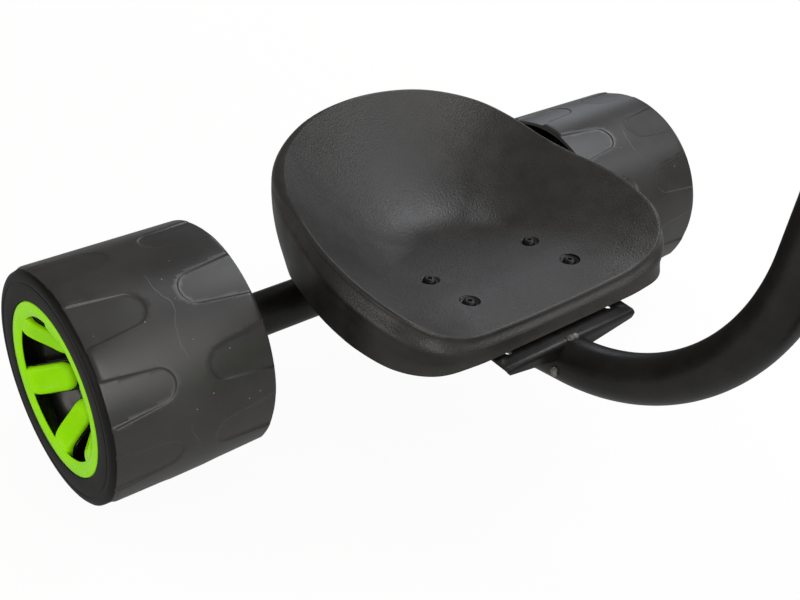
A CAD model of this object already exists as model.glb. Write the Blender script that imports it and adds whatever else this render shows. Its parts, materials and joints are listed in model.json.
import json
import math
from contextlib import contextmanager

import bmesh
import bpy
import numpy as np
from mathutils import Matrix, Vector
from mathutils.geometry import delaunay_2d_cdt


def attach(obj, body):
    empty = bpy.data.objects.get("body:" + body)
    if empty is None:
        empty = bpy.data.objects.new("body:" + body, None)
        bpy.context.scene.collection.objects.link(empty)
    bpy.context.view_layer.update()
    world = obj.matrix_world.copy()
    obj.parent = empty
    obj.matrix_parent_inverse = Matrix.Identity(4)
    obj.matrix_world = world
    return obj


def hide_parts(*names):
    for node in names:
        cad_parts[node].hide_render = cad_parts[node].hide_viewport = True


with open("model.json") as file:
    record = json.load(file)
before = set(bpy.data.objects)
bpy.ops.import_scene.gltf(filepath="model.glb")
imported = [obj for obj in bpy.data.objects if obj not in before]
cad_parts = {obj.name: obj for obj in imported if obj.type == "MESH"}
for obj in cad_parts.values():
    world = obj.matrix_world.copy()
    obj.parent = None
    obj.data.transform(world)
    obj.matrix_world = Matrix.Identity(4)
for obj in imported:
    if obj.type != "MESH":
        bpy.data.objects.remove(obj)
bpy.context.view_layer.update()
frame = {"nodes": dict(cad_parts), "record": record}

MM = 0.001
WHOLE_TURN = 2 * math.pi
stage = bpy.context.scene


def added(name, data):
    """An object that shows some data."""
    made = bpy.data.objects.new(name, data)
    stage.collection.objects.link(made)
    return made


# Camera
CAMERA_PLACE = (0.262396, -0.574602, 0.656479)
CAMERA_LENS = 50.564
CAMERA_AZIMUTH, CAMERA_ELEVATION, CAMERA_ROLL = (math.radians(a) for a in (47.115, 34.731, 6.33))


def make_camera():
    data = bpy.data.cameras.new("camera")
    data.lens, data.sensor_width, data.clip_start = CAMERA_LENS, 36, 0.01
    stage.camera = added("camera", data)
    tilt = Matrix.Rotation(math.pi / 2 - CAMERA_ELEVATION, 4, "X") @ Matrix.Rotation(CAMERA_ROLL, 4, "Z")
    stage.camera.matrix_world = Matrix.Translation(CAMERA_PLACE) @ Matrix.Rotation(CAMERA_AZIMUTH, 4, "Z") @ tilt


make_camera()


# Places of the part's groups, in millimetres
def shift(x, y, z):
    place = np.eye(4)
    place[:3, 3] = (x, y, z)
    return place


def turn(axis, angle):
    return np.array(Matrix.Rotation(angle, 4, axis))


WHEELBASE = 650
FRONT_RADIUS = 200
REAR_RADIUS = 96
REAR_X = -(WHEELBASE + FRONT_RADIUS - REAR_RADIUS) / 2
HEAD_ANGLE = math.radians(70)
FORK_OFFSET = 20
AHEAD = np.array((math.sin(HEAD_ANGLE), 0, math.cos(HEAD_ANGLE)))
UPWARD = np.array((-math.cos(HEAD_ANGLE), 0, math.sin(HEAD_ANGLE)))
FRONT_AXLE = np.array((REAR_X + WHEELBASE, 0, FRONT_RADIUS))
STEER_FOOT = FRONT_AXLE - FORK_OFFSET * AHEAD
Y_TO_Z = turn("X", math.pi / 2)
ROW = np.eye(4)
REAR = shift(REAR_X, 0, REAR_RADIUS)
FRONT = shift(*FRONT_AXLE)
STEER = shift(*STEER_FOOT) @ turn("Y", HEAD_ANGLE - math.pi / 2)
UP_STEER = STEER @ Y_TO_Z
LEFT_WHEEL_TURN = math.radians(12)
WHEELS = {"left": REAR @ turn("Y", LEFT_WHEEL_TURN), "right": REAR @ turn("Z", math.pi)}
SIDES = {"left": 1, "right": -1}


# Materials
class Nodes:
    """A node tree whose steps read in the order in which they are made."""

    def __init__(self, owner):
        owner.use_nodes = True
        self.owner, self.tree = owner, owner.node_tree

    def new(self, kind, inputs=(), **settings):
        """A node with its settings, and with its inputs linked or set."""
        node = self.tree.nodes.new("ShaderNode" + kind)
        for key, value in settings.items():
            setattr(node, key, value)
        for key, value in dict(inputs).items():
            self.link(value, node.inputs[key])
        return node

    def link(self, source, target):
        if isinstance(source, (int, float, tuple)):
            target.default_value = source
        else:
            self.tree.links.new(source, target)

    def math(self, operation, *values):
        return self.new("Math", enumerate(values), operation=operation).outputs[0]

    def added(self, first, second):
        return self.math("ADD", first, second)

    def times(self, first, second):
        return self.math("MULTIPLY", first, second)

    def place(self):
        return self.new("TexCoord").outputs["Object"]

    def noise(self, scale, detail=2.0, roughness=0.5, stretch=None):
        place = self.place()
        if stretch:
            place = self.new("Mapping", {"Vector": place, "Scale": stretch}).outputs[0]
        inputs = {"Vector": place, "Scale": scale, "Detail": detail, "Roughness": roughness}
        return self.new("TexNoise", inputs).outputs[0]

    def cells(self, scale, feature="F1"):
        return self.new("TexVoronoi", {"Vector": self.place(), "Scale": scale}, feature=feature).outputs["Distance"]

    def parts(self, source):
        return self.new("SeparateXYZ", {0: source}).outputs

    def span(self, value, low, high, to_low=0.0, to_high=1.0):
        inputs = {"Value": value, "From Min": low, "From Max": high, "To Min": to_low, "To Max": to_high}
        return self.new("MapRange", inputs).outputs["Result"]

    def mix(self, share, first, second):
        first, second = ((*color, 1.0) if isinstance(color, tuple) else color for color in (first, second))
        return self.new("Mix", {0: share, 6: first, 7: second}, data_type="RGBA").outputs[2]

    def bump(self, height, distance, under=None):
        inputs = {"Strength": 1.0, "Distance": distance, "Height": height}
        if under is not None:
            inputs["Normal"] = under
        return self.new("Bump", inputs).outputs[0]

    def finish(self, color, roughness, normal=None, **constants):
        shader = self.tree.nodes["Principled BSDF"]
        self.link(color, shader.inputs["Base Color"])
        self.link(roughness, shader.inputs["Roughness"])
        if normal is not None:
            self.link(normal, shader.inputs["Normal"])
        for key, value in constants.items():
            shader.inputs[key.replace("_", " ")].default_value = value
        return self.owner


def new_material(name):
    return Nodes(bpy.data.materials.new(name))


def greys(low, high):
    return (low,) * 3, (high,) * 3


def plastic(name, dark, pale, rough, grain, grain_height, mottle=18.0, **constants):
    """Moulded plastic or rubber: a slow change of tone, a fine grain and a rough sheen."""
    n = new_material(name)
    slow = n.noise(mottle, 3.0)
    fine = n.noise(grain)
    tone = n.added(n.times(slow, 0.75), n.times(fine, 0.25))
    color = n.mix(n.span(tone, 0.35, 0.65), dark, pale)
    return n.finish(color, n.span(n.added(slow, fine), 0.7, 1.3, *rough), n.bump(fine, grain_height), **constants)


def metal(name, tones, rough, stretch, **constants):
    """Turned or plated metal: fine lines one way, cloudy plating and small scuffs."""
    n = new_material(name)
    lines = n.noise(1.0, 3.0, stretch=stretch)
    uneven = n.added(lines, n.noise(60.0, 3.0))
    color = n.mix(n.span(uneven, 0.75, 1.25), *tones)
    return n.finish(color, n.span(uneven, 0.7, 1.3, *rough), n.bump(lines, 0.00004), **constants)


def satin_paint(name):
    """Black powder coat: a soft orange peel, and dust that makes it a little uneven."""
    n = new_material(name)
    peel = n.noise(650.0, 1.0)
    dust = n.noise(38.0, 5.0, 0.6)
    color = n.mix(n.span(dust, 0.4, 0.7), (0.006, 0.0054, 0.005), (0.011, 0.0102, 0.0096))
    sheen = n.span(n.added(dust, peel), 0.7, 1.3, 0.3, 0.4)
    return n.finish(color, sheen, n.bump(peel, 0.00012), Specular_IOR_Level=0.4)


def seat_skin(name):
    """Blown plastic: pebbled on the seating face, smoother on the skirt."""
    n = new_material(name)
    facing = n.parts(n.new("NewGeometry").outputs["True Normal"])
    pebbled = n.span(facing["Z"], 0.05, 0.3)
    grain = n.noise(1500.0)
    waves = n.noise(55.0, 4.0, 0.6)
    tone = n.span(n.added(n.noise(9.0), waves), 0.75, 1.25)
    seating = n.mix(tone, (0.017, 0.016, 0.0148), (0.026, 0.0245, 0.0228))
    skirt = n.mix(n.span(waves, 0.35, 0.65), (0.0085, 0.0078, 0.0068), (0.0135, 0.0124, 0.011))
    sheen = n.span(n.added(waves, grain), 0.75, 1.25, 0.33, 0.45)
    pebbles = n.times(n.added(n.cells(700.0, "SMOOTH_F1"), n.times(grain, 0.5)), pebbled)
    raised = n.bump(waves, 0.00025, n.bump(pebbles, 0.00022))
    return n.finish(n.mix(pebbled, skirt, seating), sheen, raised, Specular_IOR_Level=0.5)


PARTING_PHASE = math.radians(40)


def tread_skin(name):
    """Hard tread plastic: smooth, with a parting line round the middle and a few specks."""
    n = new_material(name)
    parts = n.parts(n.place())
    across = n.math("SUBTRACT", parts["X"], REAR_X * MM)
    height = n.math("SUBTRACT", parts["Z"], REAR_RADIUS * MM)
    angle = n.math("ARCTAN2", height, across)
    wave = n.math("SINE", n.added(n.times(angle, 10.0), PARTING_PHASE))
    line_at = n.added(n.times(wave, 0.0045), n.span(n.noise(22.0, 3.0), 0.3, 0.7, 0.248, 0.262))
    away = n.math("ABSOLUTE", n.math("SUBTRACT", n.math("ABSOLUTE", parts["Y"]), line_at))
    patchy = n.span(n.noise(30.0), 0.42, 0.6)
    line = n.times(n.span(away, 0.0002, 0.0009, 1.0, 0.0), patchy)
    specks = n.span(n.cells(75.0), 0.03, 0.05, 1.0, 0.0)
    slow = n.noise(16.0, 4.0, 0.6)
    fine = n.noise(900.0)
    color = n.mix(n.span(slow, 0.35, 0.65), (0.020, 0.0193, 0.019), (0.028, 0.027, 0.0268))
    color = n.mix(n.times(line, 0.18), color, (0.1, 0.097, 0.094))
    color = n.mix(n.times(specks, 0.8), color, (0.22, 0.215, 0.21))
    sheen = n.span(n.added(slow, fine), 0.75, 1.25, 0.3, 0.4)
    return n.finish(color, sheen, n.bump(fine, 0.00003, n.bump(line, 0.00006)), Specular_IOR_Level=0.5)


def green_skin(name):
    n = new_material(name)
    slow = n.noise(25.0, 3.0)
    fine = n.noise(800.0, 1.0)
    color = n.mix(n.span(slow, 0.35, 0.65), (0.240, 0.640, 0.0010), (0.280, 0.710, 0.0016))
    sheen = n.span(n.added(slow, fine), 0.75, 1.25, 0.14, 0.22)
    return n.finish(color, sheen, n.bump(fine, 0.00002), Specular_IOR_Level=0.07)


PAINT = satin_paint("satin_black_paint")
WELD = plastic("painted_weld", (0.05, 0.048, 0.046), (0.16, 0.155, 0.15), (0.22, 0.4), 900.0, 0.0002, mottle=160.0)
SEAT = seat_skin("seat_plastic_skin")
TREAD = tread_skin("tread_plastic")
SIDEWALL = plastic("sidewall_plastic", (0.0045, 0.0042, 0.004), (0.008, 0.0076, 0.0072), (0.4, 0.52), 1100.0,
                   0.00005, Specular_IOR_Level=0.15)
GLOSS_BLACK = plastic("gloss_black_plastic", (0.004, 0.0038, 0.0038), (0.007, 0.0067, 0.0067), (0.14, 0.22), 1000.0,
                      0.00002, Specular_IOR_Level=0.3)
GREEN = green_skin("green_plastic_skin")
RUBBER = plastic("front_tyre_rubber", (0.012, 0.0118, 0.0115), (0.022, 0.0215, 0.021), (0.62, 0.8), 1400.0, 0.00012)
GRIP = plastic("grip_rubber_skin", (0.010, 0.0098, 0.0095), (0.018, 0.0175, 0.017), (0.6, 0.75), 1600.0, 0.0002)
PEDAL = plastic("pedal_plastic_skin", (0.012, 0.0118, 0.0116), (0.021, 0.0205, 0.02), (0.45, 0.6), 1200.0, 0.00012)
BOLT = metal("black_bolt", greys(0.004, 0.009), (0.28, 0.38), (700, 700, 700), Specular_IOR_Level=0.25)
SOCKET = metal("worn_socket", greys(0.03, 0.07), (0.3, 0.42), (900, 900, 900), Metallic=0.6)
ZINC = metal("zinc_plate", ((0.40, 0.40, 0.41), (0.62, 0.62, 0.63)), (0.26, 0.4), (900, 900, 900), Metallic=1.0)
OXIDE = metal("black_oxide", ((0.012, 0.012, 0.0125), (0.03, 0.03, 0.031)), (0.24, 0.38), (700, 700, 700),
              Metallic=0.35)
ALLOY = metal("turned_alloy", ((0.45, 0.45, 0.46), (0.66, 0.66, 0.67)), (0.28, 0.42), (300, 1500, 300), Metallic=1.0)
SEAL = plastic("bearing_seal", *greys(0.008, 0.014), (0.4, 0.5), 1500.0, 0.00004)

SLOT_MATERIALS = {
    "frame_paint": PAINT, "seat_plastic": SEAT, "tyre_plastic": TREAD, "green_plastic": GREEN,
    "tyre_rubber": RUBBER, "grip_rubber": GRIP, "pedal_plastic": PEDAL, "zinc_steel": ZINC,
    "black_steel": OXIDE, "spacer_alloy": ALLOY,
}

# Looks that several pieces share: the body to ride on, the slot and the material
FRAME_PAINT = ("frame", "frame_paint", PAINT)
FRAME_ZINC = ("frame", "zinc_steel", ZINC)
STEERING_PAINT = ("steering", "frame_paint", PAINT)
STEERING_BLACK = ("steering", "black_steel", OXIDE)
STEERING_ZINC = ("steering", "zinc_steel", ZINC)
WHEEL_BLACK = ("front_wheel", "black_steel", OXIDE)
WHEEL_GREEN = ("front_wheel", "green_plastic", GREEN)


# Mesh helpers: a form is its points in millimetres and its faces
def moved(form, place):
    points, faces = form
    return np.asarray(points, float) @ place[:3, :3].T + place[:3, 3], faces


def joined(*forms):
    points, faces, start = [], [], 0
    for form_points, form_faces in forms:
        points.append(np.asarray(form_points, float))
        faces += [tuple(i + start for i in face) for face in form_faces]
        start += len(form_points)
    return np.concatenate(points), faces


def mirrored(profile):
    """A profile's other half, so that both together read in one direction."""
    return [(r, -y) for r, y in reversed(profile)]


def raised(profile, level, way=1):
    """A profile whose heights count from a level, upward or downward."""
    return [(r, level + way * h) for r, h in profile]


def unit(vectors):
    return vectors / np.linalg.norm(vectors, axis=-1, keepdims=True)


def quads(rows, count, closed=False):
    """The faces between rows of points that close on themselves."""
    faces = []
    for i in range(rows if closed else rows - 1):
        low, high = i * count, (i + 1) % rows * count
        faces += [(low + k, low + (k + 1) % count, high + (k + 1) % count, high + k) for k in range(count)]
    return faces


def ends(rows, count):
    """The faces that cover the first and the last row."""
    return [tuple(range(count - 1, -1, -1)), tuple(range((rows - 1) * count, rows * count))]


def lathe(profile, segments=96, start=0.0, closed=True):
    """A profile of radius and height pairs, turned about the Y axis."""
    angles = start + np.arange(segments) * WHOLE_TURN / segments
    radius, height = np.array(profile, float).T[:, :, None]
    points = np.broadcast_arrays(radius * np.cos(angles), height, radius * np.sin(angles))
    return np.stack(points, axis=-1).reshape(-1, 3), quads(len(profile), segments, closed)


def rod(radius, low, high, segments=40, start=0.0):
    return lathe([(0, low), (radius, low), (radius, high), (0, high)], segments, start)


def tube(inner, outer, low, high, segments=96):
    return lathe([(inner, low), (outer, low), (outer, high), (inner, high)], segments)


def extruded(outline, low, high, axis=1):
    """An outline drawn out along an axis."""
    count = len(outline)
    points = [np.insert(np.array(corner, float), axis, level) for level in (low, high) for corner in outline]
    return np.array(points), [tuple(range(count)), tuple(range(2 * count - 1, count - 1, -1)), *quads(2, count)]


def arc(centre, radius, start, end, steps):
    """Points of a circle's arc, with its angles in degrees."""
    angles = np.radians(np.linspace(start, end, steps + 1))
    return [(centre[0] + radius * math.cos(a), centre[1] + radius * math.sin(a)) for a in angles]


def rounded(half_x, half_y, corner, steps):
    """A rectangle's outline with rounded corners."""
    outline = []
    for x, y, start in ((1, 1, 0), (-1, 1, 90), (-1, -1, 180), (1, -1, 270)):
        outline += arc((x * (half_x - corner), y * (half_y - corner)), corner, start, start + 90, steps)
    return outline


def along(path, radii, segments=40):
    """A round bar along a path, with one radius or one for each point."""
    path = np.array(path, float)
    tangents = unit(np.gradient(path, axis=0))
    side = np.cross(tangents[0], (0.0, 0.0, 1.0))
    if np.linalg.norm(side) < 0.2:
        side = np.cross(tangents[0], (0.0, 1.0, 0.0))
    angles = np.arange(segments) * WHOLE_TURN / segments
    points = []
    for place, tangent, radius in zip(path, tangents, np.broadcast_to(radii, len(path))):
        side = unit(side - (side @ tangent) * tangent)
        other = np.cross(tangent, side)
        points.append(place + radius * (np.outer(np.cos(angles), side) + np.outer(np.sin(angles), other)))
    return np.concatenate(points), quads(len(path), segments) + ends(len(path), segments)


BEND_STEP = 4.0


def bent(corners, radii):
    """A path through corners, each rounded to its bend radius."""
    corners = [np.array(c, float) for c in corners]
    path = [corners[0]]
    for before, corner, after, radius in zip(corners, corners[1:], corners[2:], radii):
        inward, outward = unit(corner - before), unit(after - corner)
        turned_by = math.acos(np.clip(inward @ outward, -1, 1))
        towards = np.cross(unit(np.cross(inward, outward)), inward)
        centre = corner - radius * math.tan(turned_by / 2) * inward + radius * towards
        for a in np.linspace(0, turned_by, max(int(radius * turned_by / BEND_STEP), 6) + 1):
            path.append(centre + radius * (math.sin(a) * inward - math.cos(a) * towards))
    path.append(corners[-1])
    full = [path[0]]
    for a, b in zip(path, path[1:]):
        length = np.linalg.norm(b - a)
        if length > 1e-6:
            count = max(int(length / (3 * BEND_STEP)), 1)
            full += [a + (b - a) * k / count for k in range(1, count + 1)]
    return np.array(full)


@contextmanager
def editing(mesh):
    bm = bmesh.new()
    bm.from_mesh(mesh)
    yield bm
    bm.to_mesh(mesh)
    bm.free()


def merge(bm, distance):
    bmesh.ops.remove_doubles(bm, verts=bm.verts, dist=distance)
    bmesh.ops.dissolve_degenerate(bm, dist=1e-7, edges=bm.edges)


def round_edges(bm, width, steps, degrees):
    """Bevels the edges that bend by more than some degrees."""
    sharp = [e for e in bm.edges if len(e.link_faces) == 2 and e.calc_face_angle(0.0) > math.radians(degrees)]
    bmesh.ops.bevel(bm, geom=sharp, offset=width * MM, segments=steps, profile=0.5, affect="EDGES",
                    clamp_overlap=True)


def solid_mesh(form, place=ROW, name="tool"):
    """A closed mesh to show, to cut with or to be cut."""
    points, faces = moved(form, place)
    mesh = bpy.data.meshes.new(name)
    mesh.from_pydata((points * MM).tolist(), [], faces)
    with editing(mesh) as bm:
        merge(bm, 3e-6)
        bmesh.ops.recalc_face_normals(bm, faces=bm.faces)
    return mesh


def dressed(name, mesh, look, node=None, sharp=38.0, choose=None):
    """Gives a mesh its object, body, slot, materials and smooth shading, and lets it replace a node."""
    body, slot, materials = look
    with editing(mesh) as bm:
        merge(bm, 2e-6)
        bmesh.ops.delete(bm, geom=[e for e in bm.edges if not e.link_faces], context="EDGES")
    mesh.shade_smooth()
    mesh.set_sharp_from_angle(angle=math.radians(sharp))
    for material in materials if isinstance(materials, list) else [materials]:
        mesh.materials.append(material)
    if choose:
        for polygon in mesh.polygons:
            polygon.material_index = choose(polygon.center)
    made = added(name, mesh)
    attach(made, body)
    if node:
        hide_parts(node)


def piece(name, form, look, place=ROW, node=None, bevel=0.0, steps=2, sharp=38.0, choose=None):
    """Makes an object from a form, with its sharp edges rounded if asked."""
    mesh = solid_mesh(form, place, name)
    if bevel:
        with editing(mesh) as bm:
            round_edges(bm, bevel, steps, 30)
    dressed(name, mesh, look, node, sharp, choose)


def chosen_by(place, test):
    """The second material where a face's radius and height, seen in a place, pass a test."""
    inverse = np.linalg.inv(place)

    def choose(centre):
        x, y, z, _ = inverse @ (*(np.array(centre) / MM), 1.0)
        return int(test(math.hypot(x, z), y))
    return choose


def worked(mesh, tools=(), softened=False):
    """A mesh with other meshes cut from it or joined to it, then softened if asked."""
    helpers = [added("work", mesh)]

    def step(kind, **settings):
        modifier = helpers[0].modifiers.new("step", kind)
        for key, value in settings.items():
            setattr(modifier, key, value)

    for operation, tool in tools:
        helpers.append(added("helper", tool))
        step("BOOLEAN", operation=operation, solver="EXACT", object=helpers[-1])
    if softened:
        step("REMESH", mode="VOXEL", voxel_size=MM)
        step("SMOOTH", factor=0.5, iterations=12)
        step("DECIMATE", ratio=0.3)
    bpy.context.view_layer.update()
    result = bpy.data.meshes.new_from_object(helpers[0].evaluated_get(bpy.context.evaluated_depsgraph_get()))
    for helper in helpers:
        bpy.data.objects.remove(helper)
    return result


def bevelled(mesh, width, steps, degrees=30):
    """A worked mesh, without the cuts' stray edges and with its sharp edges rounded."""
    with editing(mesh) as bm:
        bmesh.ops.dissolve_limit(bm, angle_limit=math.radians(0.6), verts=bm.verts, edges=bm.edges)
        bmesh.ops.remove_doubles(bm, verts=bm.verts, dist=2e-5)
        round_edges(bm, width, steps, degrees)
    return mesh


BEAD_WAVE = 7.0


def bead(path, radius, seed):
    """A weld bead: a lumpy bar along a path."""
    rng = np.random.default_rng(seed)
    path = np.array(path, float)
    count = len(path)
    length = np.linalg.norm(np.diff(path, axis=0), axis=1).sum()
    waves = np.sin(np.linspace(0, length / BEAD_WAVE * WHOLE_TURN, count))
    radii = radius * (1 + 0.1 * waves + 0.08 * rng.standard_normal(count).cumsum() / math.sqrt(count))
    taper = np.clip(np.minimum(np.arange(count), np.arange(count)[::-1]) / 4, 0.25, 1)
    return along(path, radii * np.sqrt(taper), 16)


def closed_bead(path, radius, seed):
    """A weld bead that runs all the way round a closed line."""
    phase = np.arange(len(path)) * WHOLE_TURN / len(path)
    wander = np.random.default_rng(seed).uniform(0, 6)
    radii = radius * (1 + 0.09 * np.sin(phase * 17) + 0.05 * np.sin(phase * 5 + wander))
    tangents = unit(np.roll(path, -1, axis=0) - np.roll(path, 1, axis=0))
    out = path - path.mean(axis=0)
    out = unit(out - (out * tangents).sum(axis=1)[:, None] * tangents)
    sides = 14
    angles = (np.arange(sides) * WHOLE_TURN / sides)[:, None]
    rings = [place + size * (np.cos(angles) * a + np.sin(angles) * b)
             for place, size, a, b in zip(path, radii, out, np.cross(tangents, out))]
    return np.concatenate(rings), quads(len(path), sides, closed=True)


BEAD_SINK = 0.999


def joint_line(radius, centre, direction, main_radius, main_axis, samples):
    """The closed line where a tube's skin meets another tube's skin, found along its rulings."""
    direction, main_axis = unit(direction), unit(main_axis)
    side = unit(np.cross(direction, main_axis))
    other = np.cross(direction, side)
    flat = direction - direction @ main_axis * main_axis
    points = []
    for a in np.linspace(0, WHOLE_TURN, samples, endpoint=False):
        start = centre + radius * (math.cos(a) * side + math.sin(a) * other)
        off = start - start @ main_axis * main_axis
        qa, qb, qc = flat @ flat, 2 * off @ flat, off @ off - (main_radius * BEAD_SINK) ** 2
        root = qb * qb - 4 * qa * qc
        points.append(start + (-qb + math.sqrt(max(root, 0))) / (2 * qa) * direction)
    return np.array(points)


def smooth(t):
    s = np.clip(t, 0, 1)
    return s * s * (3 - 2 * s)


# Rear tyre, in the wheel's own place: its outer face is the high Y one
SEAT_HALF = 147
INNER_FACE = SEAT_HALF + 39
OUTER_FACE = INNER_FACE + 138.5
TYRE_SHOULDER = 8
TYRE_INNER_EDGE = 4
TYRE_WALL = 5.5
HUB_RADIUS = REAR_RADIUS - 25.4
HUB_BARREL_DEPTH = 40
PAD_COUNT = 10
PAD_PHASE = math.radians(9)
PAD_MOUTH_HALF = 19.5
PAD_TIP_HALF = 14.5
PAD_OUTER = 57.7
PAD_INNER = 54.3
PAD_DEPTH = 2.3
PAD_TIP_DEPTH = 0.9
PAD_WALL = 2.0
SECTOR_HALF = math.pi * REAR_RADIUS / PAD_COUNT
TREAD_COLUMNS = 20
SHOULDER_RUN = TYRE_SHOULDER * math.pi / 2
INNER_RUN = TYRE_INNER_EDGE * math.pi / 2
TREAD_RUN = SHOULDER_RUN + (OUTER_FACE - INNER_FACE - TYRE_SHOULDER - TYRE_INNER_EDGE) + INNER_RUN


def tread_place(run):
    """Radius and depth from the outer face at a run along the tread's profile."""
    if run < SHOULDER_RUN:
        a = run / TYRE_SHOULDER
        return REAR_RADIUS - TYRE_SHOULDER * (1 - math.sin(a)), TYRE_SHOULDER * (1 - math.cos(a))
    if run > TREAD_RUN - INNER_RUN:
        a = (run - TREAD_RUN + INNER_RUN) / TYRE_INNER_EDGE
        depth = OUTER_FACE - INNER_FACE - TYRE_INNER_EDGE * (1 - math.sin(a))
        return REAR_RADIUS - TYRE_INNER_EDGE * (1 - math.cos(a)), depth
    return REAR_RADIUS, TYRE_SHOULDER + run - SHOULDER_RUN


def run_at(depth, outer):
    """The run at a depth from the outer face, or from the inner face."""
    if outer:
        if depth < TYRE_SHOULDER:
            return TYRE_SHOULDER * math.acos(1 - depth / TYRE_SHOULDER)
        return SHOULDER_RUN + depth - TYRE_SHOULDER
    if depth < TYRE_INNER_EDGE:
        return TREAD_RUN - INNER_RUN + TYRE_INNER_EDGE * math.asin(1 - depth / TYRE_INNER_EDGE)
    return TREAD_RUN - INNER_RUN - depth + TYRE_INNER_EDGE


def pad_half(depth, length):
    share = depth / (length - PAD_TIP_HALF)
    return PAD_MOUTH_HALF - (PAD_MOUTH_HALF - PAD_TIP_HALF) * share


def pad_outline(length, inset, start):
    """A pad's outline, drawn in by an inset, as across and depth pairs."""
    tip_start = length - PAD_TIP_HALF
    depths = np.linspace(start, tip_start, 26)[:-1]
    one_side = [(pad_half(d, length) - inset, d) for d in depths]
    tip = arc((0, tip_start), PAD_TIP_HALF - inset, 0, 180, 30)
    return one_side + tip + [(-u, d) for u, d in reversed(one_side)]


def pad_inside(u, depth, length):
    """How far inside a pad's outline a point lies, or less than 0 outside."""
    tip_start = length - PAD_TIP_HALF
    if depth < tip_start:
        return pad_half(depth, length) - abs(u)
    return PAD_TIP_HALF - math.hypot(u, depth - tip_start)


def tread_sector():
    """One tenth of the tread, flat: its points as across and run, and its triangles."""
    columns = np.linspace(-SECTOR_HALF, SECTOR_HALF, TREAD_COLUMNS + 1)
    rows = [*np.linspace(0, SHOULDER_RUN, 9), *np.linspace(SHOULDER_RUN, TREAD_RUN - INNER_RUN, 34)[1:],
            *np.linspace(TREAD_RUN - INNER_RUN, TREAD_RUN, 6)[1:]]
    outlines = []
    for length, start, outer in ((PAD_OUTER, 1.4, True), (PAD_INNER, 0.5, False)):
        for inset in np.linspace(0, PAD_WALL, 5):
            outlines.append([(u, run_at(d, outer)) for u, d in pad_outline(length, inset, start)])
    near = np.array([p for outline in outlines for p in outline])
    points, edges = [], []
    for row in rows:
        for column in columns:
            at_rim = row in (rows[0], rows[-1]) or column in (columns[0], columns[-1])
            if at_rim or np.hypot(*(near - (column, row)).T).min() > 0.9:
                points.append((column, row))
    for outline in outlines:
        first = len(points)
        points.extend(outline)
        edges.extend((first + i, first + i + 1) for i in range(len(outline) - 1))
    flat, _, triangles, *_ = delaunay_2d_cdt([Vector(p) for p in points], edges, [], 0, 1e-5)
    return [(p.x, p.y) for p in flat], [tuple(t) for t in triangles]


def tread_point(u, run, angle):
    radius, depth = tread_place(run)
    from_inner = OUTER_FACE - INNER_FACE - depth
    for length, at in ((PAD_OUTER, depth), (PAD_INNER, from_inner)):
        if at < length:
            share = smooth(pad_inside(u, at, length) / PAD_WALL)
            floor_depth = PAD_DEPTH + (PAD_TIP_DEPTH - PAD_DEPTH) * at / length
            floor = (REAR_RADIUS - floor_depth) / math.cos(u / REAR_RADIUS) ** 0.3
            radius += share * min(floor - radius, 0)
    a = angle + u / REAR_RADIUS
    return radius * math.cos(a), OUTER_FACE - depth, radius * math.sin(a)


def rear_tyre():
    flat, triangles = tread_sector()
    sectors = []
    for k in range(PAD_COUNT):
        angle = PAD_PHASE + 2 * math.pi * k / PAD_COUNT
        sectors.append((np.array([tread_point(u, run, angle) for u, run in flat]), triangles))
    bore = HUB_RADIUS + 0.3
    inside = REAR_RADIUS - TYRE_WALL
    depth = HUB_BARREL_DEPTH
    side = [
        (REAR_RADIUS - TYRE_SHOULDER, 0), (REAR_RADIUS - TYRE_SHOULDER - 0.8, 0), (86.2, 0.1), (85.9, 0.45),
        (85.3, 0.45), (85.0, 0.1), (84.0, 0), (74.0, 0), (73.4, 0.15), (bore + 0.7, 0.2), (bore + 0.2, 0.4),
        (bore, 0.9), (bore, depth - 1), (bore + 1, depth), (bore + 4, depth), (bore + 5, depth - 1),
        (bore + 5, TYRE_WALL + 3), (bore + 6, TYRE_WALL + 0.8), (bore + 8, TYRE_WALL), (inside - 8, TYRE_WALL),
        *[(inside - 8 + 8 * math.sin(a), TYRE_WALL + 8 * (1 - math.cos(a))) for a in np.linspace(0.2, math.pi / 2, 6)],
    ]
    rest = [*raised(side, OUTER_FACE, -1), (inside, INNER_FACE + 1.2), (inside + 1, INNER_FACE + 0.1),
            (REAR_RADIUS - TYRE_INNER_EDGE, INNER_FACE)]
    segments = PAD_COUNT * TREAD_COLUMNS
    start = PAD_PHASE - SECTOR_HALF / REAR_RADIUS
    return joined(*sectors, lathe(rest, segments, start, closed=False))


def on_sidewall(radius, height):
    """Where the blacker sidewall shows: on the outer face and inside."""
    return height > OUTER_FACE - 3.2 or radius < REAR_RADIUS - 5


# Rear hub: a green ring with six tongues that dip towards the axle, on the wheel's black barrel and bowl
DISH = [(65, 1.3), (62, 1.4), (60, 1.7), (57, 2.0), (54.5, 2.5), (52, 3.7), (49, 5.9), (45, 9.4), (40, 14),
        (36, 17.4), (32, 20.2), (28, 22.3), (24, 23.4), (20, 24), (14, 24.4)]
DISH_RADII, DISH_DEPTHS = np.array(DISH[::-1], float).T
TONGUE_HALF = 11.8
TONGUE_END = 24.6
TONGUE_CORNER = 9.0
TONGUE_START = 61.0
TONGUE_PHASE = math.radians(32)
HUB_BOSS_END = 118
BEARING_DEPTH = 39
BEARING_SECTION = [(6.4, 0), (8.8, 0), (9.1, 0.5), (12.9, 0.5), (13.2, 0), (16, 0), (16, 10), (6.4, 10)]


def dish_depth(radius):
    return np.interp(radius, DISH_RADII, DISH_DEPTHS)


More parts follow.
